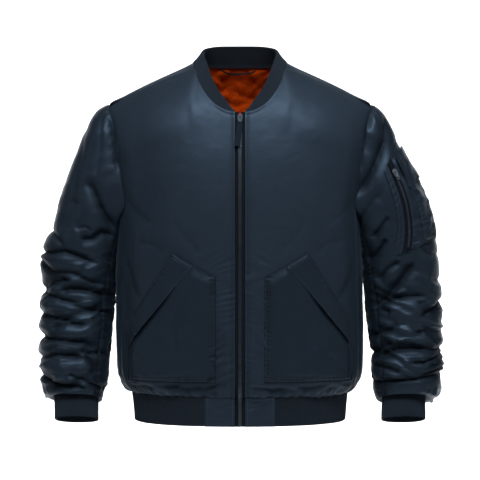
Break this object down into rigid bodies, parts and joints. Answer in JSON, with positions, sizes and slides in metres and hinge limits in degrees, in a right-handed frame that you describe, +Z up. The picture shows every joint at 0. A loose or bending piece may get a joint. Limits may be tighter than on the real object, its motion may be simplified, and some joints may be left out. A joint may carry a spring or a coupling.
{
  "type": "bomber jacket",
  "caption": "Zip-front bomber jacket, filled out and hollow, with rib collar, cuffs and hem, slanted hand pockets and a zipped arm pocket; both zip pulls swing.",
  "frame": {"origin": "midway between the two shoulder tops, at the base of the neck, where the jacket hangs from its wearer", "axes": "+Z up, the front faces -Y, the wearer's left is +X"},
  "size_m": [0.7495, 0.2652, 0.7025],
  "materials": {
    "shell_nylon": "navy nylon flight satin, fine twill with a soft sheen",
    "rib_knit": "matt dark navy rib knit",
    "lining_nylon": "orange nylon satin lining, crinkled",
    "zip_tape": "woven dark navy tape",
    "zip_metal": "dark blackened metal, worn bright at the edges",
    "pull_ribbon": "navy grosgrain ribbon",
    "hanger_tape": "narrow dark woven tape"
  },
  "bodies": {
    "jacket": {"front_left": "shell_nylon", "front_right": "shell_nylon", "back": "shell_nylon", "lining_back": "lining_nylon", "sleeve_left_upper": "shell_nylon", "sleeve_left_under": "shell_nylon", "cuff_left": "rib_knit", "sleeve_right_upper": "shell_nylon", "sleeve_right_under": "shell_nylon", "cuff_right": "rib_knit", "collar_rib": "rib_knit", "hem_rib": "rib_knit", "hem_tab_left": "shell_nylon", "hem_tab_right": "shell_nylon", "pocket_left": "shell_nylon", "pocket_flap_left": "shell_nylon", "pocket_right": "shell_nylon", "pocket_flap_right": "shell_nylon", "zip_tape_left": "zip_tape", "zip_tape_right": "zip_tape", "zip_chain": "zip_metal", "front_zip_slider": "zip_metal", "sleeve_pocket_front": "shell_nylon", "sleeve_pocket_back": "shell_nylon", "sleeve_pen_pocket": "shell_nylon", "sleeve_pen_flap": "shell_nylon", "sleeve_zip_tape_front": "zip_tape", "sleeve_zip_tape_back": "zip_tape", "sleeve_zip_chain": "zip_metal", "sleeve_zip_slider": "zip_metal", "hanger_loop": "hanger_tape"},
    "front_zip_pull": {"front_zip_tab": "zip_metal", "front_zip_ribbon": "pull_ribbon"},
    "sleeve_zip_pull": {"sleeve_zip_tab": "zip_metal"}
  },
  "joints": [
    {"name": "front_pull_swing", "type": "hinge", "parent": "jacket", "child": "front_zip_pull", "pos_m": [0, -0.10342, -0.10428], "axis": [-1, 0, 0], "range_deg": [0, 165]},
    {"name": "sleeve_pull_swing", "type": "hinge", "parent": "jacket", "child": "sleeve_zip_pull", "pos_m": [0.27931, -0.06695, -0.19951], "axis": [-0.8616, -0.4139, -0.294], "range_deg": [0, 150]}
  ]
}
